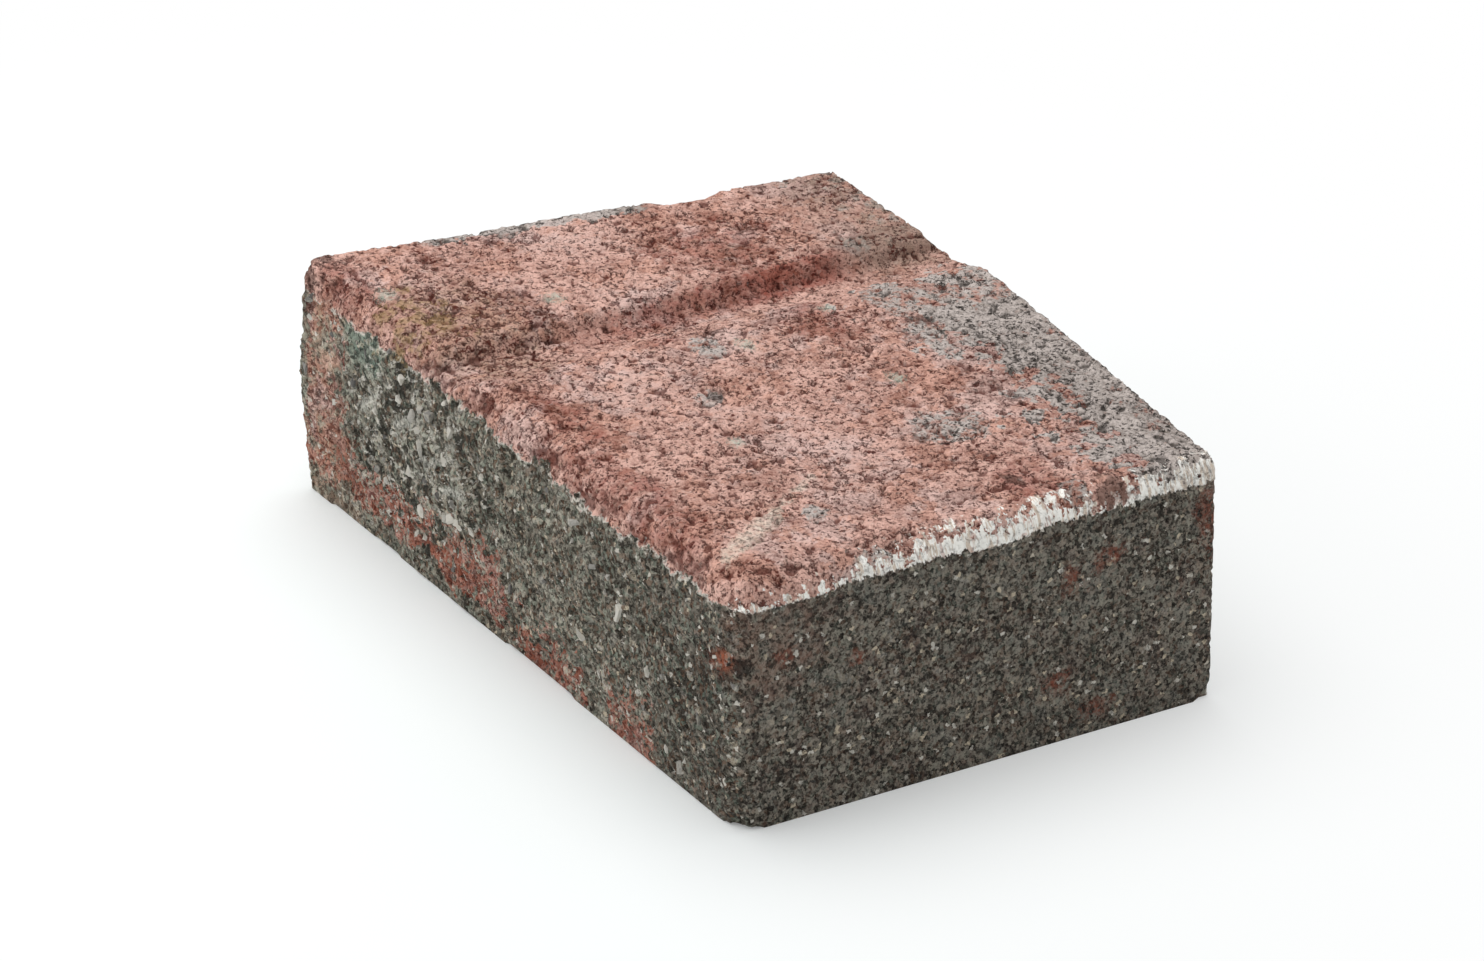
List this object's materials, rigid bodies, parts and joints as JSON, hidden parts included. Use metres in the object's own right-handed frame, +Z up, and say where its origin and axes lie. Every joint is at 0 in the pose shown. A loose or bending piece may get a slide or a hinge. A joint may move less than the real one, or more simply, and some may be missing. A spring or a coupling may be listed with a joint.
{
  "type": "corner wall block",
  "caption": "Solid concrete corner block for a garden wall, with two split faces, a tapered tail and a shallow groove across its upper bed.",
  "frame": {"origin": "middle of the lower bed's bounding box", "axes": "+X along the long split face toward the moulded tail end, +Y toward the moulded side, +Z up from the lower bed"},
  "size_m": [0.3169, 0.2176, 0.096],
  "materials": {
    "split_concrete": "rough"
  },
  "bodies": {
    "root": {"wall_block": "split_concrete"}
  },
  "joints": []
}
